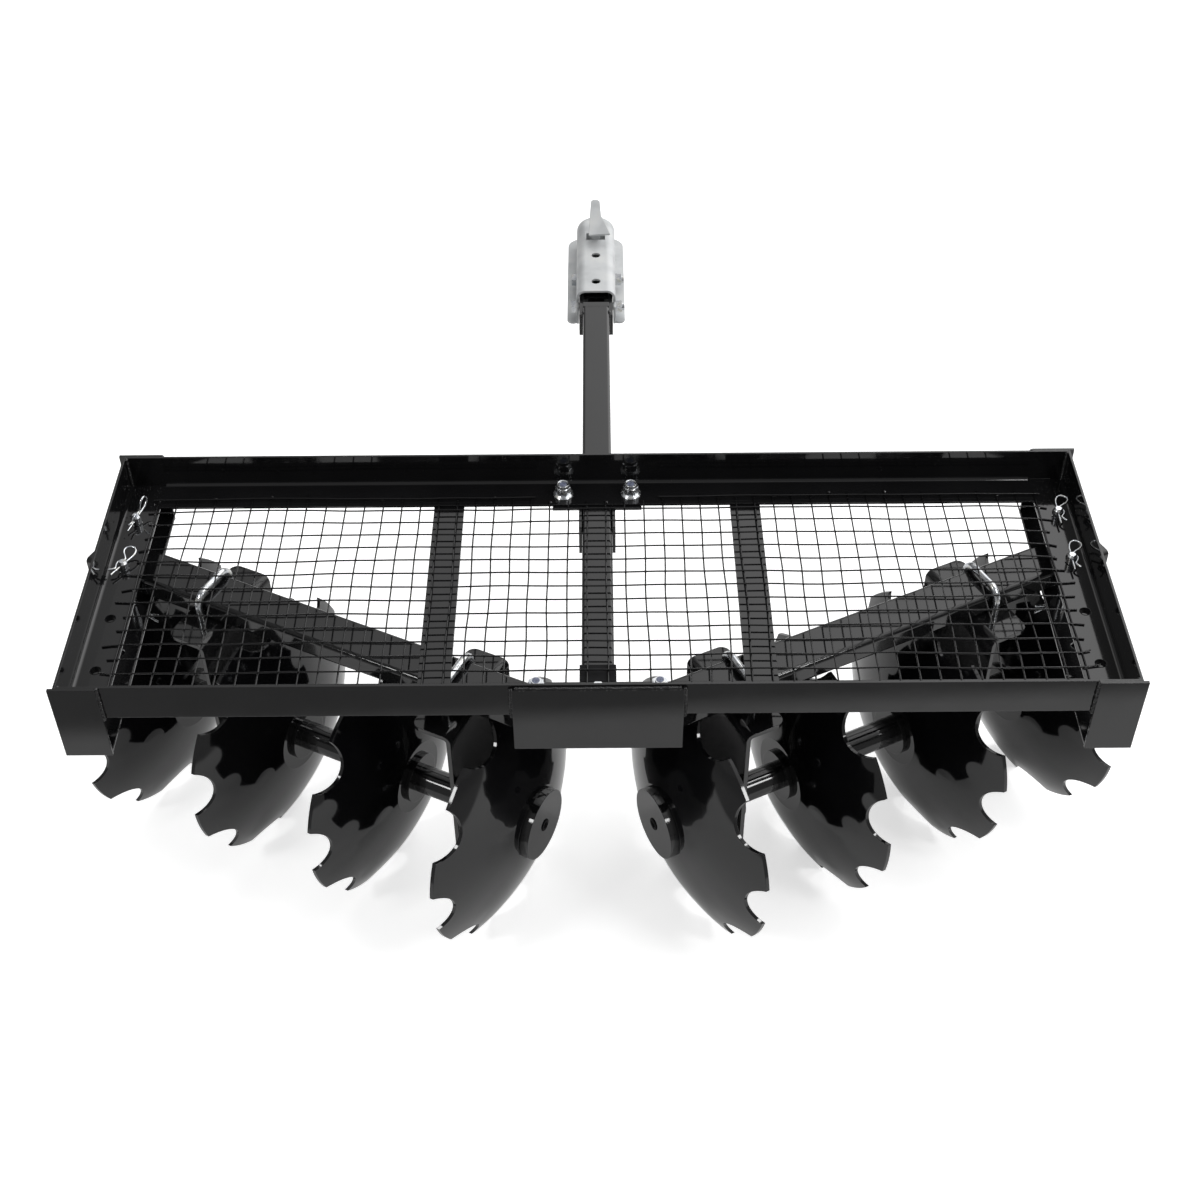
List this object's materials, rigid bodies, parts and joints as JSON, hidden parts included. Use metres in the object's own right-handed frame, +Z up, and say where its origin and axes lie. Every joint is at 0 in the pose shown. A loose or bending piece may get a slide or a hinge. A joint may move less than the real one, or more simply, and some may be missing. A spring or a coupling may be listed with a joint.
{
  "type": "disc harrow",
  "caption": "Tow-behind disc harrow: a wire-decked angle-iron tray on a ball-coupler drawbar, with notched dished discs on two axles set in a V beneath.",
  "frame": {"origin": "on the ground under the middle of the whole machine's bounding box", "axes": "+X to the machine's right, +Y forward along the drawbar to the coupler, +Z up"},
  "size_m": [1.3759, 1.2138, 0.4796],
  "materials": {
    "black_paint": "gloss black paint on steel",
    "wire": "black painted welded wire",
    "zinc": "bright zinc plating",
    "galvanised": "pale galvanised pressed steel"
  },
  "bodies": {
    "frame": {"rear_rail": "black_paint", "front_rail": "black_paint", "left_rail": "black_paint", "right_rail": "black_paint", "left_lower_rail": "black_paint", "right_lower_rail": "black_paint", "rear_corner_plates": "black_paint", "front_corner_plates": "black_paint", "pivot_channel": "black_paint", "deck_straps": "black_paint", "deck_long_wires": "wire", "deck_cross_wires": "wire", "drawbar": "black_paint", "drawbar_front_saddle": "black_paint", "drawbar_rear_saddle": "black_paint", "saddle_bolts": "zinc", "coupler_cheeks": "black_paint", "coupler_body": "galvanised", "coupler_latch": "galvanised", "coupler_bolts": "zinc", "left_gang_beam": "black_paint", "right_gang_beam": "black_paint", "pivot_bolts": "zinc", "lock_pins": "zinc", "left_inner_hanger": "black_paint", "left_outer_hanger": "black_paint", "right_inner_hanger": "black_paint", "right_outer_hanger": "black_paint", "left_u_bolts": "zinc", "right_u_bolts": "zinc", "left_bearings": "black_paint", "right_bearings": "black_paint"},
    "left_gang": {"left_axle": "black_paint", "left_spools": "black_paint", "left_end_washers": "black_paint", "left_disc_1": "black_paint", "left_disc_2": "black_paint", "left_disc_3": "black_paint", "left_disc_4": "black_paint"},
    "right_gang": {"right_axle": "black_paint", "right_spools": "black_paint", "right_end_washers": "black_paint", "right_disc_1": "black_paint", "right_disc_2": "black_paint", "right_disc_3": "black_paint", "right_disc_4": "black_paint"}
  },
  "joints": [
    {"name": "left_gang_spin", "type": "hinge", "parent": "frame", "child": "left_gang", "pos_m": [-0.074, -0.47165, 0.18], "axis": [-0.8966, 0.4429, 0], "continuous": true},
    {"name": "right_gang_spin", "type": "hinge", "parent": "frame", "child": "right_gang", "pos_m": [0.074, -0.47165, 0.18], "axis": [-0.8966, -0.4429, 0], "continuous": true}
  ]
}
